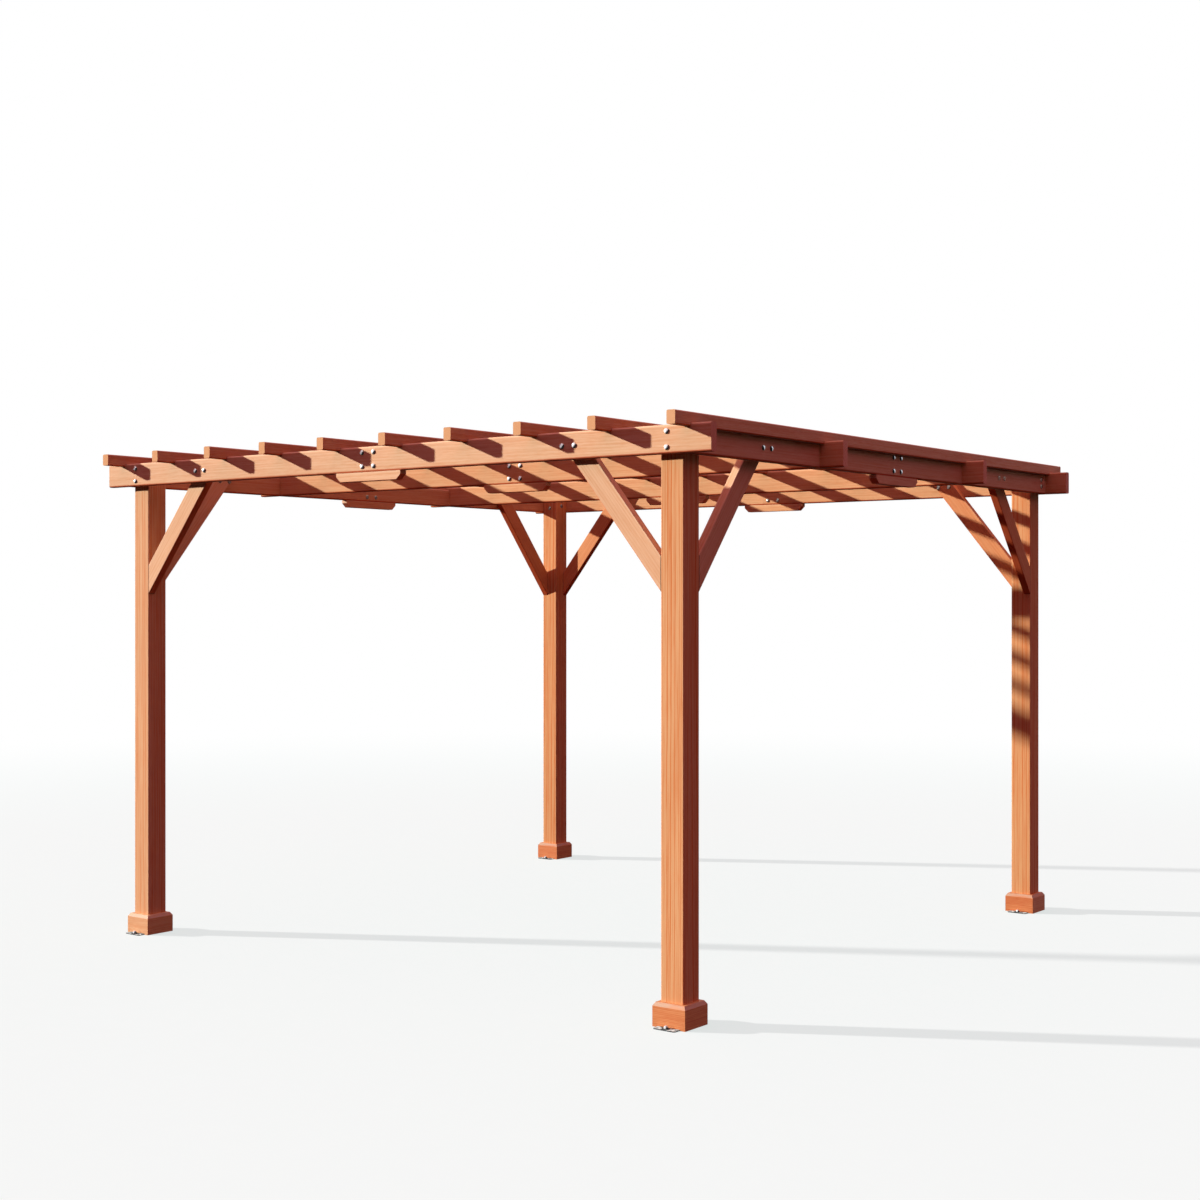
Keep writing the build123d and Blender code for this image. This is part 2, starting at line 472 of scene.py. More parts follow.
@dataclass(frozen=True)
class CedarFinish:
    """Stained cedar whose growth rings, streaks and pale edges, partly wear and partly painted highlight,
    follow one member's own axes.
    """

    name: str
    tone: CedarTone
    run: Vector
    width_axis: Vector
    centre: Vector
    half_width: float
    half_depth: float
    seed: int
    sawing: Sawing = FINE_SAWING
    wear: Wear = Wear.ALL
    worn_from: float = 0.009
    worn_full: float = 0.003
    cut_from: float = 0.35
    cut_full: float = 0.60
    seam: Seam | None = None
    shine: float = 0.03

    @property
    def depth_axis(self) -> Vector:
        """The member's third axis, through its thickness."""
        return self.run.cross(self.width_axis)

    def local(self, graph: NodeGraph) -> Signal:
        """Reads each point as its reach along, across and through the member.

        Args:
            graph: The material's graph.

        Returns:
            The three reaches as one vector, in metres from the member's middle.
        """
        place = graph.place() - self.centre
        return graph.joined(place.dot(self.run), place.dot(self.width_axis), place.dot(self.depth_axis))

    def edges(self, graph: NodeGraph, local: Signal) -> Signal:
        """Finds the long edges.

        Args:
            graph: The material's graph.
            local: The point in the member's own axes.

        Returns:
            1 along the member's long edges, falling to 0 over a few millimetres.
        """
        height = local.dot(Y_AXIS)
        wide = height if self.wear is Wear.UPPER else abs(height)
        wide = wide.rising(self.half_width - self.worn_from, self.half_width - self.worn_full)
        deep = abs(local.dot(Z_AXIS))
        return wide * deep.rising(self.half_depth - self.worn_from, self.half_depth - self.worn_full)

    def cut_ends(self, graph: NodeGraph) -> Operand:
        """1 on faces that are cut across the grain, and 0 along it."""
        return abs(graph.facing("True Normal").dot(self.run)).rising(self.cut_from, self.cut_full)

    def grain(self, graph: NodeGraph, local: Signal) -> Grain:
        """Draws the member out of its own tree.

        Args:
            graph: The material's graph.
            local: The point in the member's own axes.

        Returns:
            Its growth rings, streaks, fibres and marks.
        """
        draw = random.Random(self.seed)
        pith_side = draw.uniform(*TREE.pith_reach) * draw.choice((-1, 1))
        pith = Vector((0.0, pith_side, draw.uniform(*TREE.pith_reach)))
        lean = draw.uniform(*TREE.lean_reach) * draw.choice((-1, 1))
        shift = Vector([draw.uniform(0, TREE.noise_reach) for _ in range(3)])
        stain = draw.uniform(-TREE.stain_reach, TREE.stain_reach)

        along = local.dot(X_AXIS)
        wander = WANDER.spread(graph, local, shift, output="Color") - 0.5
        ripple = RIPPLE.spread(graph, local, shift, output="Color") - 0.5
        tilt = graph.joined(0.0, along * lean, along * lean * TREE.lean_back)
        bent = local + wander * TREE.wander + ripple * TREE.ripple + tilt
        radius = ((bent - pith) * (Y_AXIS + Z_AXIS)).length()
        season = graph.noise(graph.joined(radius * TREE.season_pace, shift.x, 0.0), 1.0) * TREE.season_sway
        ring = (radius * (1 / self.sawing.ring_gap) + season).fraction()
        late = ring.rising(self.sawing.ring_start, TREE.late_full)
        fleck = self.sawing.fleck
        return Grain(
            late=late * (1 - ring.rising(TREE.late_falls, 1.0)),
            broad=BROAD.spread(graph, bent, shift),
            streak=STREAK.spread(graph, bent, shift, fleck),
            dash=DASH.spread(graph, bent, shift, fleck),
            fibre=FIBRE.spread(graph, bent, shift, fleck),
            cloud=CLOUD.spread(graph, local, shift),
            pores=PORES.spread(graph, local, shift),
            scuff=SCUFF.spread(graph, local, shift),
            stain=stain,
        )

    def wood(self, graph: NodeGraph, grain: Grain, cut: Operand) -> Signal:
        """Colours the wood by its grain.

        Args:
            graph: The material's graph.
            grain: The member's grain.
            cut: 1 where the face is cut across the grain.

        Returns:
            The colour of the stained wood, without wear.
        """
        depth = 0.5 + (grain.late - (1 - self.sawing.ring_start) * TREE.late_mean) * self.sawing.ring_depth
        streaks = (grain.broad - 0.5) * STAIN.broad + (grain.streak - 0.5) * STAIN.streak
        streaks = streaks + (grain.dash - 0.5) * STAIN.dash
        depth = depth + streaks * self.sawing.figure
        depth = depth + (grain.fibre - 0.5) * STAIN.fibre
        depth = depth.rising(STAIN.pale_depth, STAIN.full_depth)
        shade = (grain.cloud - 0.5) * STAIN.cloud + (grain.fibre - 0.5) * STAIN.fibre_shade
        wood = graph.mixed(depth, self.tone.early, self.tone.late) * (1 + grain.stain + shade)
        sawn = graph.mixed(grain.late * STAIN.sawn_late, self.tone.end, self.tone.late)
        return graph.mixed(cut, wood, sawn * (STAIN.sawn_low + grain.pores * STAIN.sawn_pores))

    def shut_seam(self, graph: NodeGraph, wood: Signal) -> Signal:
        """Darkens the wood where the member meets its neighbour.

        Args:
            graph: The material's graph.
            wood: The wood's colour.

        Returns:
            The darkened colour, or the same one where the member has no seam.
        """
        if not self.seam:
            return wood
        start, full = self.seam.reach - self.seam.width, self.seam.reach - self.seam.full_width
        return wood * (1 - graph.place().dot(self.seam.facing).rising(start, full) * self.seam.darkness)

    def painted_light(self, graph: NodeGraph, wood: Signal, facing: Signal) -> Signal:
        """Paints light and shade on the wood by the way that it faces.

        Args:
            graph: The material's graph.
            wood: The wood's colour.
            facing: The direction that the surface faces in.

        Returns:
            The colour with its painted light and shade.
        """
        for painting in (PAINTED_LOWER_EDGE_SHADE, PAINTED_UNDERSIDE_SHADE, PAINTED_SUNNY_SIDE_SHADE, PAINTED_TOP_LIGHT):
            share = facing.dot(painting.facing).rising(painting.starts, painting.full)
            wood = wood * graph.mixed(share, WHITE, painting.tint)
        return wood

    def material(self) -> bpy.types.Material:
        """Makes the material.

        Returns:
            A new material with growth rings, streaks, fibres, end grain, pale edges that are partly wear and
            partly painted highlight, and painted light and shade by facing.
        """
        material, graph = empty_material(self.name)
        local = self.local(graph)
        facing = graph.facing()
        grain = self.grain(graph, local)
        cut = self.cut_ends(graph)
        # Pale edges: partly wear, partly a painted highlight on the rounded top edges; on a plinth, painted
        # sky light on the chamfer.
        scuffed = STAIN.worn_least + grain.scuff * (1 - STAIN.worn_least)
        worn = self.edges(graph, local) * scuffed * (1 - cut)
        wood = graph.mixed(worn * self.tone.edge_wear, self.wood(graph, grain, cut), self.tone.worn)
        # Painted light and shade by the way each face looks.
        wood = self.painted_light(graph, self.shut_seam(graph, wood), facing)

        rough = PLANING.rough + (grain.fibre - 0.5) * PLANING.rough_fibre + grain.late * PLANING.rough_late
        rough = rough + worn * PLANING.rough_worn + cut * PLANING.rough_cut
        below = facing.dot(-Z_AXIS).rising(PLANING.below_from, PLANING.below_full)
        rough = rough + below * PLANING.rough_below
        height = grain.fibre * PLANING.high_fibre + grain.late * PLANING.high_late
        height = height + grain.dash * PLANING.high_dash + cut * grain.pores * PLANING.high_pores
        relief = graph.relief(height, PLANING.relief_strength, PLANING.relief_depth)
        looks = {"Base Color": wood, "Roughness": rough, "Normal": relief, "Specular IOR Level": self.shine}
        graph.finish(graph.node("ShaderNodeBsdfPrincipled", {}, looks))
        return material


@dataclass(frozen=True)
class PlinthFinish(CedarFinish):
    """Cedar for the four mitred boards of a plinth, each with its grain along itself."""

    board_spacing: float = 3.0
    board_lean: float = 0.01
    chamfer_from: tuple[float, float] = (0.3, 0.5)
    chamfer_to: tuple[float, float] = (0.8, 0.95)

    def local(self, graph: NodeGraph) -> Signal:
        """Reads each point in the axes of the board that it lies on.

        Args:
            graph: The material's graph.

        Returns:
            The reach along the board, up from the middle, and out from the board's middle plane.
        """
        place = graph.place() - self.centre
        x = place.dot(X_AXIS)
        y = place.dot(Y_AXIS)
        turned = abs(x).above(abs(y))
        along = x + (y - x) * turned
        out = y + (x - y) * turned
        along = along + out * self.board_lean + turned * self.board_spacing
        return graph.joined(along, place.dot(Z_AXIS), abs(out) - self.half_depth)

    def edges(self, graph: NodeGraph, local: Signal) -> Signal:
        """1 on the chamfer, whose paler colour paints the sky light that falls on it, and 0 on the faces."""
        upward = graph.facing("True Normal").dot(Z_AXIS)
        return upward.rising(*self.chamfer_from) * (1 - upward.rising(*self.chamfer_to))

    def cut_ends(self, graph: NodeGraph) -> float:
        """0 all over, because the mitres hide every cut end."""
        return 0.0


@dataclass(frozen=True)
class SteelFinish:
    """Steel with fine scratches and a faint mottle, darkened on the side turned away from one direction:
    painted shade and reflection on the bolts, painted shade and soil on the brackets.
    """

    name: str
    base: Colour
    toward_bright: Vector
    grime_until: float
    bright_from: float
    roughness: float
    metal: float
    grime: Colour = painted(18, 16, 16)
    mottle: float = 0.05
    mottle_pace: float = 400.0
    mottle_weights: tuple[float, float, float] = (0.4, 0.3, 0.3)
    mottle_rough: float = 0.4
    scratch_pace: tuple[float, float, float] = (300.0, 300.0, 2400.0)
    scratch_rough: float = 0.10
    scratch_strength: float = 0.15
    scratch_depth: float = 0.0002
    haze_pace: float = 60.0
    haze_sway: float = 0.3
    grime_rough: float = 0.15

    def material(self) -> bpy.types.Material:
        """Makes the material.

        Returns:
            A new material that is bright on the side toward its bright direction and darkened with painted
            shade on the other.
        """
        material, graph = empty_material(self.name)
        place = graph.place()
        cells = {"Vector": place, "Scale": self.mottle_pace}
        spangle = graph.node("ShaderNodeTexVoronoi", {}, cells, "Color")
        facet = (spangle.dot(self.mottle_weights) - 0.5) * self.mottle
        scratch = graph.noise(place * self.scratch_pace) - 0.5
        haze = (graph.noise(place * self.haze_pace, 3.0) - 0.5) * self.haze_sway
        # Painted shade: the steel darkens away from its bright direction, with the haze breaking up the
        # edge.
        toward_bright = graph.facing().dot(self.toward_bright) + haze
        shaded_and_grimy = 1 - toward_bright.rising(self.grime_until, self.bright_from)
        rough = self.roughness + facet * self.mottle_rough + scratch * self.scratch_rough
        looks = {
            "Base Color": graph.mixed(shaded_and_grimy, self.base, self.grime) * (1 + facet),
            "Roughness": rough + shaded_and_grimy * self.grime_rough,
            "Metallic": self.metal,
            "Normal": graph.relief(scratch, self.scratch_strength, self.scratch_depth),
        }
        graph.finish(graph.node("ShaderNodeBsdfPrincipled", {}, looks))
        return material


def dress(node: str, material: bpy.types.Material) -> None:
    """Gives a node of the frame its finish.

    Args:
        node: The node's name.
        material: The finish.
    """
    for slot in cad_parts[node].material_slots:
        slot.material = material
    LOG.info("%s wears %s", node, material.name)


def middle_and_half(node: str) -> tuple[Vector, Vector]:
    """Measures a node's box.

    Args:
        node: The node's name.

    Returns:
        The box's middle and half its size.
    """
    low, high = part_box(node)
    return (low + high) / 2, (high - low) / 2


def front_beam() -> tuple[float, float]:
    """Measures the front beam, which every bolt is set out from.

    Returns:
        The height of its middle, and half its thickness.
    """
    middle, half = middle_and_half("front_beam_left_half")
    return middle.z, half.y


@dataclass(frozen=True)
class Bolt:
    """The two ends of a through bolt: a domed head, and a domed cap on the far face."""

    head_radius: float = 0.0111
    head_height: float = 0.0070
    rim: float = 0.0010
    facets: int = 28
    steps: int = 8

    def profile(self) -> Profile:
        """Draws half of the head's section.

        Returns:
            Radius and height from the wood out to the crown.
        """
        points = [(self.head_radius, 0.0), (self.head_radius, self.rim)]
        for step in range(1, self.steps):
            angle = math.pi / 2 * step / self.steps
            rise = self.rim + (self.head_height - self.rim) * math.sin(angle)
            points.append((self.head_radius * math.cos(angle), rise))
        points.append((0.0, self.head_height))
        return points


class Hardware:
    """One joined mesh of like fastenings."""

    sharp_degrees: float = 38

    def __init__(self, name: str) -> None:
        """Starts an empty mesh under a name."""
        self.name = name
        self.mesh = bmesh.new()

    def turned(self, profile: Profile, sides: int, place: Vector, facing: Vector) -> None:
        """Adds a turned shape.

        Args:
            profile: Radius and height from the foot to the top.
            sides: How many facets go round.
            place: Where the foot's middle lies.
            facing: The direction in which the shape stands out.
        """
        seat = Matrix.Translation(place) @ facing.to_track_quat("Z", "Y").to_matrix().to_4x4()
        rings = []
        for radius, height in profile:
            if radius == 0:
                rings.append([self.mesh.verts.new(seat @ Vector((0, 0, height)))])
                continue
            angles = (2 * math.pi * step / sides for step in range(sides))
            spots = (Vector((radius * math.cos(a), radius * math.sin(a), height)) for a in angles)
            rings.append([self.mesh.verts.new(seat @ spot) for spot in spots])
        for lower, upper in zip(rings, rings[1:]):
            for step in range(sides):
                after = (step + 1) % sides
                if len(upper) == 1:
                    self.mesh.faces.new((lower[step], lower[after], upper[0]))
                else:
                    self.mesh.faces.new((lower[step], lower[after], upper[after], upper[step]))

    def placed(self, material: bpy.types.Material) -> bpy.types.Object:
        """Turns the mesh into a piece of the pergola.

        Args:
            material: The piece's finish.

        Returns:
            The piece, riding with the frame.
        """
        data = bpy.data.meshes.new(self.name)
        self.mesh.to_mesh(data)
        self.mesh.free()
        data.shade_smooth()
        data.set_sharp_from_angle(angle=math.radians(self.sharp_degrees))
        data.materials.append(material)
        piece = bpy.data.objects.new(self.name, data)
        bpy.context.scene.collection.objects.link(piece)
        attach(piece, "root")
        LOG.info("%s: %d faces", self.name, len(data.polygons))
        return piece


@dataclass(frozen=True)
class Fastenings:
    """The pergola's through bolts, with their finishes and how far apart they stand.

    The bolts of the front and second beams are of the cross steel, and those of the right beam of the side
    steel as far back as its splice. The rest, which lie in shade, are of the shaded steel, a duller copy
    painted for that shade. A half pitch is half the distance between the two bolts of a pair.
    """

    cross_steel: bpy.types.Material
    side_steel: bpy.types.Material
    shaded_steel: bpy.types.Material
    bolt: Bolt = field(default_factory=Bolt)
    half_pitch: float = 0.0312
    brace_half_pitch: float = 0.0315
    splice_half_pitch: float = 0.0350
    crossing_half_pitch: float = 0.0175
    cross_brace_reach: float = 0.4335
    side_brace_reach: float = 0.4415

    def post_half_pitch(self, way: Way) -> float:
        """The half pitch on a post, where the side beam's pair stands between the cross beam's."""
        return self.half_pitch if way is Way.CROSS else self.crossing_half_pitch

    def brace_reach(self, way: Way) -> float:
        """How far a brace's bolts stand from the post's inner face."""
        return self.cross_brace_reach if way is Way.CROSS else self.side_brace_reach

    def through(self, piece: Hardware, place: Vector, axis: Vector, half_grip: float) -> None:
        """Adds both ends of one bolt.

        Args:
            piece: The mesh that takes it.
            place: The bolt's middle.
            axis: The direction from its cap to its head.
            half_grip: Half the thickness that it clamps.
        """
        for facing in (axis, -axis):
            piece.turned(self.bolt.profile(), self.bolt.facets, place + facing * half_grip, facing)


@dataclass(frozen=True)
class Anchor:
    """The washer, nut and stud that hold a bracket's tongue to the ground."""

    tongue_thickness: float = 0.004
    washer_radius: float = 0.0165
    washer_height: float = 0.0020
    washer_chamfer: tuple[float, float] = (0.0008, 0.0004)
    washer_facets: int = 28
    nut_radius: float = 0.0098
    nut_height: float = 0.0072
    nut_chamfer: tuple[float, float] = (0.0012, 0.0010)
    nut_facets: int = 6
    stud_foot: float = 0.0056
    stud_radius: float = 0.0058
    stud_root: float = 0.0053
    stud_tip: float = 0.0050
    stud_height: float = 0.0034
    stud_facets: int = 20
    thread_start: float = 0.0010
    half_thread: float = 0.0006
    tip_rounding: float = 0.0002

    @staticmethod
    def chamfered(radius: float, height: float, chamfer: tuple[float, float]) -> Profile:
        """Draws half the section of a disc whose top edge is chamfered.

        Args:
            radius: The disc's radius.
            height: The disc's height.
            chamfer: How far the chamfer runs in and down.

        Returns:
            Radius and height from the foot to the top.
        """
        inward, down = chamfer
        return (radius, 0.0), (radius, height - down), (radius - inward, height), (0.0, height)

    def stud(self) -> Profile:
        """Draws half the section of the stud's end.

        Returns:
            Radius and height from the nut, over one turn of the thread, to the rounded tip.
        """
        return (
            (self.stud_foot, 0.0),
            (self.stud_radius, self.thread_start),
            (self.stud_root, self.thread_start + self.half_thread),
            (self.stud_radius, self.thread_start + 2 * self.half_thread),
            (self.stud_tip, self.stud_height - self.tip_rounding),
            (0.0, self.stud_height),
        )

    def bolt_down(
        self, name: str, place: Vector, steel: bpy.types.Material, shadow_black: bpy.types.Material
    ) -> None:
        """Adds the nut and stud as one piece, and the washer as another.

        Args:
            name: What the pieces' names start with.
            place: The point under them on the ground.
            steel: The finish of the nut and the stud.
            shadow_black: The finish of the washer, whose black paints the shade round the nut.
        """
        washer_seat = place + Z_AXIS * self.tongue_thickness
        nut_seat = washer_seat + Z_AXIS * self.washer_height
        nut_profile = self.chamfered(self.nut_radius, self.nut_height, self.nut_chamfer)
        nut = Hardware(f"{name}_anchor")
        nut.turned(nut_profile, self.nut_facets, nut_seat, Z_AXIS)
        nut.turned(self.stud(), self.stud_facets, nut_seat + Z_AXIS * self.nut_height, Z_AXIS)
        nut.placed(steel)
        washer_profile = self.chamfered(self.washer_radius, self.washer_height, self.washer_chamfer)
        washer = Hardware(f"{name}_anchor_washer")
        washer.turned(washer_profile, self.washer_facets, washer_seat, Z_AXIS)
        washer.placed(shadow_black)


@dataclass(frozen=True)
class Corner:
    """One post with its plinth, its two braces, its anchor and the bolts that hold them."""

    end: End
    side: Side
    seed: int
    half_brace_width: float = 0.045
    brace_shine: float = 0.04
    plinth_shine: float = 0.2

    @property
    def name(self) -> str:
        """The corner's name in the names of nodes."""
        return f"{self.end.word}_{self.side.word}"

    @property
    def tones(self) -> tuple[CedarTone, CedarTone, CedarTone]:
        """Looks up the corner's tones, palest at the front left and deepest at the back.

        Returns:
            The tones of the post, the plinth and the braces.
        """
        if self.end is End.BACK:
            return BACK_POST_TONE, BACK_PLINTH_TONE, BACK_BRACE_TONE
        if self.side is Side.LEFT:
            return PALE_POST_TONE, PALE_PLINTH_TONE, BEAM_TONE
        return POST_TONE, PLINTH_TONE, BEAM_TONE

    def inward(self, way: Way) -> Vector:
        """The direction along a beam from the post to the pergola's middle."""
        return X_AXIS * -self.side.value if way is Way.CROSS else Y_AXIS * -self.end.value

    def outward(self, way: Way) -> Vector:
        """The direction that a beam's outer face looks in."""
        return Y_AXIS * self.end.value if way is Way.CROSS else X_AXIS * self.side.value

    def steel(self, way: Way, fastenings: Fastenings) -> bpy.types.Material:
        """Chooses the finish of the bolts through one beam, the duller shaded copy where the corner lies in
        shade.

        Args:
            way: The way that the beam runs.
            fastenings: The bolts and their finishes.

        Returns:
            The finish.
        """
        if self.end is End.FRONT and way is Way.CROSS:
            return fastenings.cross_steel
        if self.end is End.FRONT and self.side is Side.RIGHT:
            return fastenings.side_steel
        return fastenings.shaded_steel

    def dress_post(self) -> None:
        """Finishes the post and its plinth."""
        post_tone, plinth_tone, _ = self.tones
        middle, half = middle_and_half(f"{self.name}_post")
        post = CedarFinish(
            name=f"{self.name}_post_cedar",
            tone=post_tone,
            run=Z_AXIS,
            width_axis=X_AXIS,
            centre=middle,
            half_width=half.x,
            half_depth=half.y,
            seed=self.seed,
            sawing=POST_SAWING,
        )
        dress(f"{self.name}_post", post.material())
        foot, half_foot = middle_and_half(f"{self.name}_plinth")
        plinth = PlinthFinish(
            name=f"{self.name}_plinth_cedar",
            tone=plinth_tone,
            run=X_AXIS,
            width_axis=Z_AXIS,
            centre=foot,
            half_width=half_foot.z,
            half_depth=(half.x + half_foot.x) / 2,
            seed=self.seed + 1,
            shine=self.plinth_shine,
        )
        dress(f"{self.name}_plinth", plinth.material())

    def dress_braces(self) -> None:
        """Finishes both braces, with their grain along their slope."""
        post, half_post = middle_and_half(f"{self.name}_post")
        for offset, way in enumerate(Way, start=2):
            node = f"{self.name}_{way.value}_brace"
            level = self.inward(way)
            middle, half = middle_and_half(node)
            slope = (level * abs(half.dot(level)) + Z_AXIS * half.z).normalized()
            upward = (Z_AXIS - slope * slope.z).normalized()
            brace = CedarFinish(
                name=f"{node}_cedar",
                tone=self.tones[2],
                run=slope,
                width_axis=upward,
                centre=middle + upward * self.half_brace_width,
                half_width=self.half_brace_width,
                half_depth=abs(half.dot(slope.cross(upward))),
                seed=self.seed + offset,
                sawing=BRACE_SAWING,
                wear=Wear.UPPER,
                seam=Seam(-level, -(post + level * half_post.x).dot(level)),
                shine=self.brace_shine,
            )
            dress(node, brace.material())

    def bolt_up(self, fastenings: Fastenings) -> None:
        """Adds the post's bolts and the braces' bolts.

        Args:
            fastenings: The bolts and their spacings.
        """
        post, half_post = middle_and_half(f"{self.name}_post")
        level, half_beam = front_beam()
        for way in Way:
            outward, inward = self.outward(way), self.inward(way)
            piece = Hardware(f"{self.name}_{way.value}_bolts")
            middle = Vector((post.x, post.y, level)) + outward * half_beam
            for step in (-1, 1):
                place = middle + Z_AXIS * step * fastenings.post_half_pitch(way)
                fastenings.through(piece, place, outward, half_post.x + half_beam)
            brace, half_brace = middle_and_half(f"{self.name}_{way.value}_brace")
            along = post + inward * (half_post.x + fastenings.brace_reach(way))
            seat = along - outward * along.dot(outward) + outward * (brace.dot(outward) + half_beam)
            for step in (-1, 1):
                place = Vector((seat.x, seat.y, level)) + inward * step * fastenings.brace_half_pitch
                fastenings.through(piece, place, outward, abs(half_brace.dot(outward)) + half_beam)
            piece.placed(self.steel(way, fastenings))

    def anchor_down(self, steel: bpy.types.Material, shadow_black: bpy.types.Material) -> None:
        """Adds the anchor half way along what shows of the bracket's tongue.

        Args:
            steel: The finish of the nut and the stud.
            shadow_black: The finish of the washer, whose black paints the shade round the nut.
        """
        post, half_post = middle_and_half(f"{self.name}_post")
        tongue_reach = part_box("front_left_post")[0].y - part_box("anchor_brackets")[0].y
        tongue_end = post.y - half_post.y - tongue_reach
        plinth_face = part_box(f"{self.name}_plinth")[0].y
        place = Vector((post.x, (tongue_end + plinth_face) / 2, 0.0))
        Anchor().bolt_down(self.name, place, steel, shadow_black)


@dataclass(frozen=True)
class Beam:
    """One beam in two halves, lapped and bolted over its splice block."""

    name: str
    halves: tuple[str, str]
    run: Vector
    outward: Vector
    seed: int
    tone: CedarTone = INNER_BEAM_TONE
    shine: float = 0.04

    def dress(self) -> None:
        """Finishes both halves and the block."""
        halves = [f"{self.name}_beam_{half}_half" for half in self.halves]
        for offset, node in enumerate([*halves, f"{self.name}_splice_block"]):
            self.dress_timber(node, offset)

    def dress_timber(self, node: str, offset: int) -> None:
        """Finishes one timber that lies along the beam.

        Args:
            node: The timber's node.
            offset: Its place in the beam, which gives it a grain of its own.
        """
        middle, half = middle_and_half(node)
        timber = CedarFinish(
            name=f"{node}_cedar",
            tone=self.tone,
            run=self.run,
            width_axis=Z_AXIS,
            centre=middle,
            half_width=half.z,
            half_depth=abs(half.dot(self.run.cross(Z_AXIS))),
            seed=self.seed + offset,
            sawing=BEAM_SAWING,
            wear=Wear.UPPER,
            shine=self.shine,
        )
        dress(node, timber.material())

    def bolt_up(self, fastenings: Fastenings, steel: bpy.types.Material) -> None:
        """Adds the four bolts of the splice.

        Args:
            fastenings: The bolts and their spacings.
            steel: The finish of the bolts.
        """
        middle, half = middle_and_half(f"{self.name}_beam_{self.halves[0]}_half")
        level, _ = front_beam()
        line = self.outward * middle.dot(self.outward)
        piece = Hardware(f"{self.name}_splice_bolts")
        for step, rise in product((-1, 1), repeat=2):
            place = line + self.run * step * fastenings.splice_half_pitch
            place += Z_AXIS * (level + rise * fastenings.half_pitch)
            fastenings.through(piece, place, self.outward, abs(half.dot(self.outward)))
        piece.placed(steel)


@dataclass(frozen=True)
class Slats:
    """The slats that run from front to back over the beams."""

    count: int = 10
    seed: int = 300
    shine: float = 0.03
    outer_shine: float = 0.12

    def dress(self) -> None:
        """Gives each slat a grain of its own, and the outer one on the right a little more shine."""
        for number in range(1, self.count + 1):
            node = f"slat_{number:02d}"
            middle, half = middle_and_half(node)
            slat = CedarFinish(
                name=f"{node}_cedar",
                tone=SLAT_TONE,
                run=Y_AXIS,
                width_axis=Z_AXIS,
                centre=middle,
                half_width=half.z,
                half_depth=half.x,
                seed=self.seed + number,
                wear=Wear.UPPER,
                shine=self.outer_shine if number == self.count else self.shine,
            )
            dress(node, slat.material())


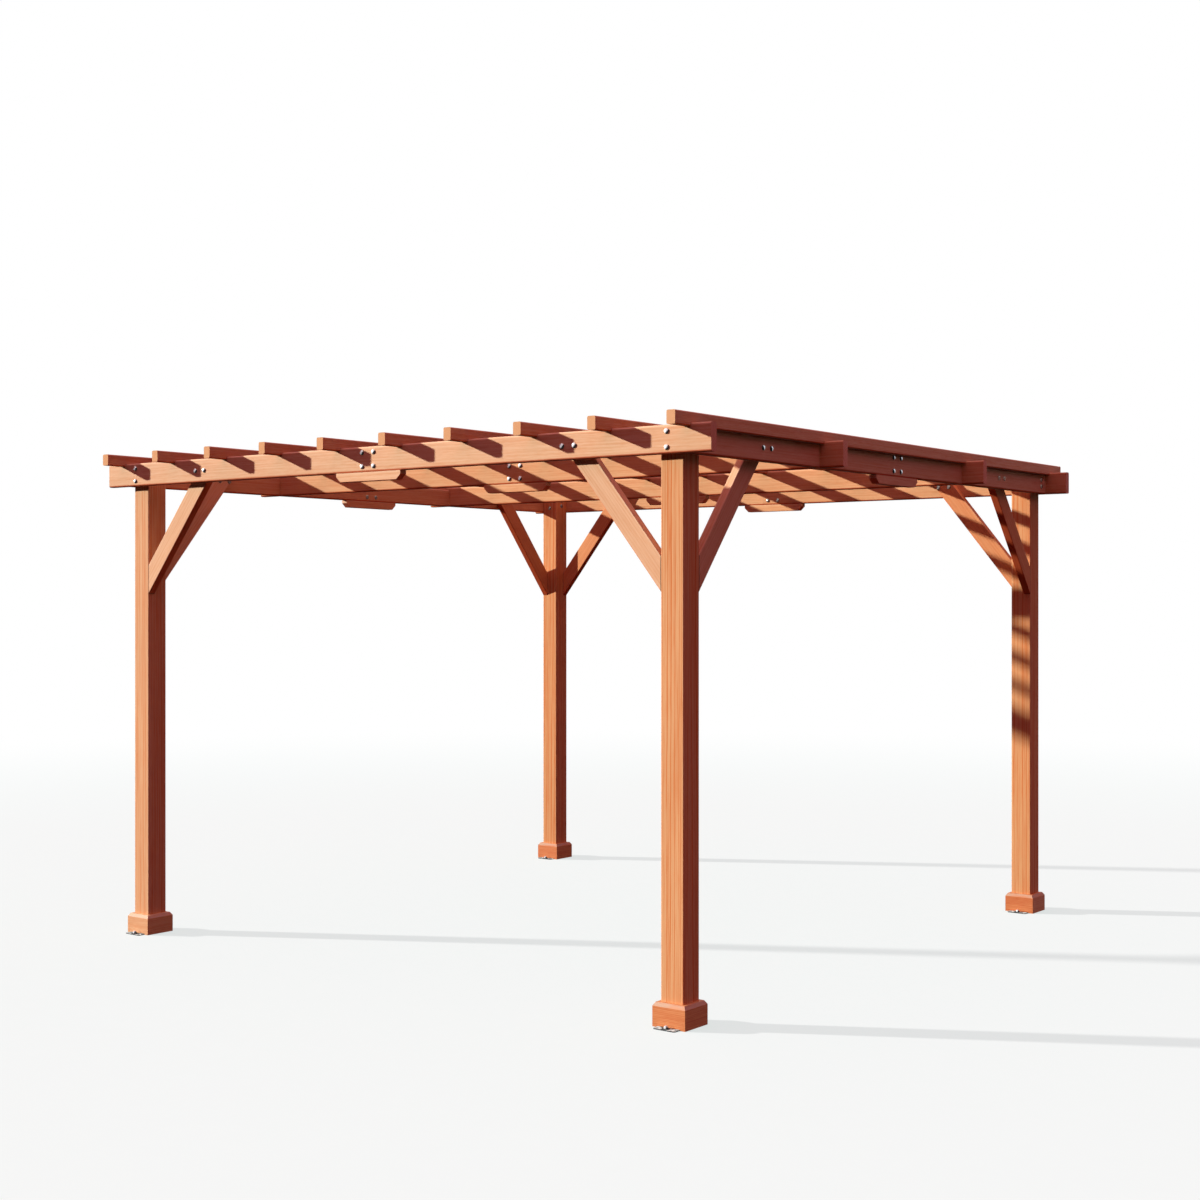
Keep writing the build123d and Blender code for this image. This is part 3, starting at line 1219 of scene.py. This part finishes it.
@dataclass(frozen=True)
class Studio:
    """The pale floor, the low sun, the sky and the camera."""

    floor_radius: float = 60.0
    floor_facets: int = 96
    sunlight: Vector = field(default_factory=lambda: Vector((0.825, 0.462, -0.325)))
    sun_strength: float = 6.5
    sun_width_degrees: float = 1.5
    sun_colour: tuple[float, float, float] = (1.0, 0.985, 0.95)
    sky_low: Colour = (0.02, 0.010, 0.012, 1.0)
    sky_middle: Colour = (1.15, 0.33, 0.52, 1.0)
    sky_high: Colour = (0.92, 0.64, 0.68, 1.0)
    sky_rises: tuple[float, float] = (0.38, 0.80)
    sky_tops: tuple[float, float] = (0.82, 1.0)
    floor_scatter: Colour = (0.04, 0.018, 0.015, 1.0)
    floor_seen: Colour = (0.78, 0.78, 0.78, 1.0)
    floor_glow: Colour = (0.86, 1.01, 0.98, 1.0)
    floor_lift: float = 0.70
    floor_fades: tuple[float, float] = (4.0, 14.0)
    floor_speck: float = 0.03
    floor_speck_pace: float = 9.0
    camera_place: Vector = field(default_factory=lambda: Vector((5.5899, -7.3265, 1.6662)))
    camera_turn_degrees: float = 37.41
    focal_pixels: float = 1772.05
    photo_pixels: float = 1200.0
    sensor_millimetres: float = 36.0
    farthest: float = 200.0

    def seen(self, graph: NodeGraph) -> Signal:
        """Tells what is looked at from what only lights the pergola.

        Args:
            graph: The graph of the material or of the sky.

        Returns:
            1 for what the camera, a reflection or a refraction sees, and 0 for light that scatters.
        """
        kinds = ("Is Camera Ray", "Is Glossy Ray", "Is Transmission Ray")
        camera, glossy, through = (graph.node("ShaderNodeLightPath", {}, {}, kind) for kind in kinds)
        return graph.maths("MINIMUM", camera + glossy + through, 1.0)

    def light(self) -> None:
        """Sets a sun low at the left and a sky that brightens overhead."""
        lamp = bpy.data.lights.new("sun", "SUN")
        lamp.energy = self.sun_strength
        lamp.angle = math.radians(self.sun_width_degrees)
        lamp.color = self.sun_colour
        sun = bpy.data.objects.new("sun", lamp)
        sun.rotation_mode = "QUATERNION"
        sun.rotation_quaternion = self.sunlight.to_track_quat("-Z", "Y")
        bpy.context.scene.collection.objects.link(sun)

        world = bpy.data.worlds.new("sky")
        world.use_nodes = True
        bpy.context.scene.world = world
        graph = NodeGraph(world.node_tree)
        rise = graph.node("ShaderNodeTexCoord", {}, {}, "Generated").dot(Z_AXIS)
        lower = graph.mixed(rise.rising(*self.sky_rises), self.sky_low, self.sky_middle)
        fill = graph.mixed(rise.rising(*self.sky_tops), lower, self.sky_high)
        scattered = graph.node("ShaderNodeBackground", {}, {"Color": fill, "Strength": 1.0})
        backdrop = graph.node("ShaderNodeBackground", {}, {"Color": WHITE, "Strength": 1.0})
        shown = graph.node("ShaderNodeMixShader", {}, {0: self.seen(graph), 1: scattered, 2: backdrop})
        graph.node("ShaderNodeOutputWorld", {}, {"Surface": shown})

    def floor(self) -> None:
        """Lays a pale disc that fades into the backdrop far from the pergola."""
        shape = bmesh.new()
        bmesh.ops.create_circle(shape, cap_ends=True, radius=self.floor_radius, segments=self.floor_facets)
        data = bpy.data.meshes.new("floor")
        shape.to_mesh(data)
        shape.free()
        floor = bpy.data.objects.new("floor", data)
        bpy.context.scene.collection.objects.link(floor)

        material, graph = empty_material("pale_floor")
        seen = self.seen(graph)
        place = graph.place()
        speck = (graph.noise(place * self.floor_speck_pace, 4.0) - 0.5) * self.floor_speck
        pale = graph.mixed(seen, self.floor_scatter, self.floor_seen) * (1 + speck)
        matte = graph.node("ShaderNodeBsdfDiffuse", {}, {"Color": pale})
        far = place.length().rising(*self.floor_fades)
        glow = graph.mixed(far, self.floor_glow, WHITE)
        backdrop = graph.node("ShaderNodeEmission", {}, {"Color": glow, "Strength": 1.0})
        white = (self.floor_lift + far * (1 - self.floor_lift)) * seen
        graph.finish(graph.node("ShaderNodeMixShader", {}, {0: white, 1: matte, 2: backdrop}))
        data.materials.append(material)

    def camera(self) -> None:
        """Stands the camera where the photograph was taken from, level and at eye height."""
        lens = bpy.data.cameras.new("camera")
        lens.sensor_width = self.sensor_millimetres
        lens.lens = self.sensor_millimetres * self.focal_pixels / self.photo_pixels
        lens.clip_end = self.farthest
        camera = bpy.data.objects.new("camera", lens)
        camera.location = self.camera_place
        camera.rotation_euler = (math.radians(90), 0.0, math.radians(self.camera_turn_degrees))
        bpy.context.scene.collection.objects.link(camera)
        bpy.context.scene.camera = camera
        bpy.context.scene.view_settings.view_transform = "Standard"


def make_fastenings() -> Fastenings:
    """Makes the through bolts' finishes.

    Returns:
        The bolts, with steel that paints shade and reflection on the heads: bright on one side and dark on
        the other.
    """
    # Painted shade and reflection on the heads: the steel is bright toward the given direction and dark away
    # from it.
    cross_steel = SteelFinish(
        name="cross_bolt_steel",
        base=painted(240, 242, 243),
        toward_bright=Vector((-0.70, 0.0, 0.70)),
        grime_until=-0.36,
        bright_from=-0.14,
        roughness=0.24,
        metal=0.45,
    )
    # A dimmer copy for the bolts on the shaded faces at the right, painted for their shade.
    side_steel = SteelFinish(
        name="side_bolt_steel",
        base=painted(206, 212, 220),
        toward_bright=Vector((0.0, 0.80, 0.40)),
        grime_until=-0.26,
        bright_from=-0.02,
        roughness=0.20,
        metal=1.0,
    )
    # A duller copy with brownish grime, painted for the bolts that lie in shade.
    shaded_steel = SteelFinish(
        name="shaded_bolt_steel",
        base=painted(158, 146, 138),
        grime=painted(96, 70, 62),
        toward_bright=Vector((-0.70, 0.0, 0.70)),
        grime_until=-0.36,
        bright_from=-0.14,
        roughness=0.34,
        metal=1.0,
    )
    return Fastenings(cross_steel.material(), side_steel.material(), shaded_steel.material())


def make_bracket_steels() -> tuple[bpy.types.Material, bpy.types.Material]:
    """Makes the finishes of the anchor brackets and of their washers.

    Returns:
        Galvanised steel that soil and painted shade darken except on top, and black steel whose black paints
        the shade round the nuts.
    """
    # Painted shade and soil: the bracket steel is dark on its sides and in patches and bright on top; its
    # cyan base offsets the pink sky light on it.
    galvanised = SteelFinish(
        name="galvanised_steel",
        base=painted(206, 240, 238),
        toward_bright=Z_AXIS,
        grime_until=0.955,
        bright_from=1.02,
        roughness=0.50,
        metal=0.05,
        mottle=0.25,
        mottle_pace=220.0,
    )
    # Black for the washers, painted for the shade round the nuts.
    shadow_black = SteelFinish(
        name="shadow_black_steel",
        base=painted(34, 32, 32),
        toward_bright=Z_AXIS,
        grime_until=0.20,
        bright_from=0.75,
        roughness=0.80,
        metal=0.0,
        mottle=0.10,
        mottle_pace=220.0,
    )
    return galvanised.material(), shadow_black.material()


def make_beams() -> list[Beam]:
    """Lists the pergola's six beams.

    Returns:
        The four cross beams from front to back, then the left and right side beams.
    """
    sides = (Side.LEFT.word, Side.RIGHT.word)
    ends = (End.FRONT.word, End.BACK.word)
    return [
        Beam("front", sides, run=X_AXIS, outward=-Y_AXIS, seed=95, tone=BEAM_TONE),
        Beam("second", sides, run=X_AXIS, outward=-Y_AXIS, seed=110),
        Beam("third", sides, run=X_AXIS, outward=-Y_AXIS, seed=120),
        Beam("back", sides, run=X_AXIS, outward=Y_AXIS, seed=130),
        Beam("left", ends, run=Y_AXIS, outward=-X_AXIS, seed=190),
        Beam("right", ends, run=Y_AXIS, outward=X_AXIS, seed=210, tone=BEAM_TONE),
    ]


def main() -> None:
    """Builds and dresses the pergola, then sets the studio round it."""
    logging.basicConfig(level=logging.INFO, format="%(name)s %(message)s")
    fastenings = make_fastenings()
    galvanised, shadow_black = make_bracket_steels()
    for number, (end, side) in enumerate(product(End, Side), start=1):
        corner = Corner(end, side, seed=10 * number)
        corner.dress_post()
        corner.dress_braces()
        corner.bolt_up(fastenings)
        corner.anchor_down(fastenings.cross_steel, shadow_black)
    dress("anchor_brackets", galvanised)

    # The splices that lie in shade take the shaded steel.
    splice_steels = {
        "front": fastenings.cross_steel,
        "second": fastenings.cross_steel,
        "third": fastenings.shaded_steel,
        "back": fastenings.shaded_steel,
        "left": fastenings.shaded_steel,
        "right": fastenings.side_steel,
    }
    for beam in make_beams():
        beam.dress()
        beam.bolt_up(fastenings, splice_steels[beam.name])
    Slats().dress()

    studio = Studio()
    studio.floor()
    studio.light()
    studio.camera()


if __name__ == "__main__":
    main()
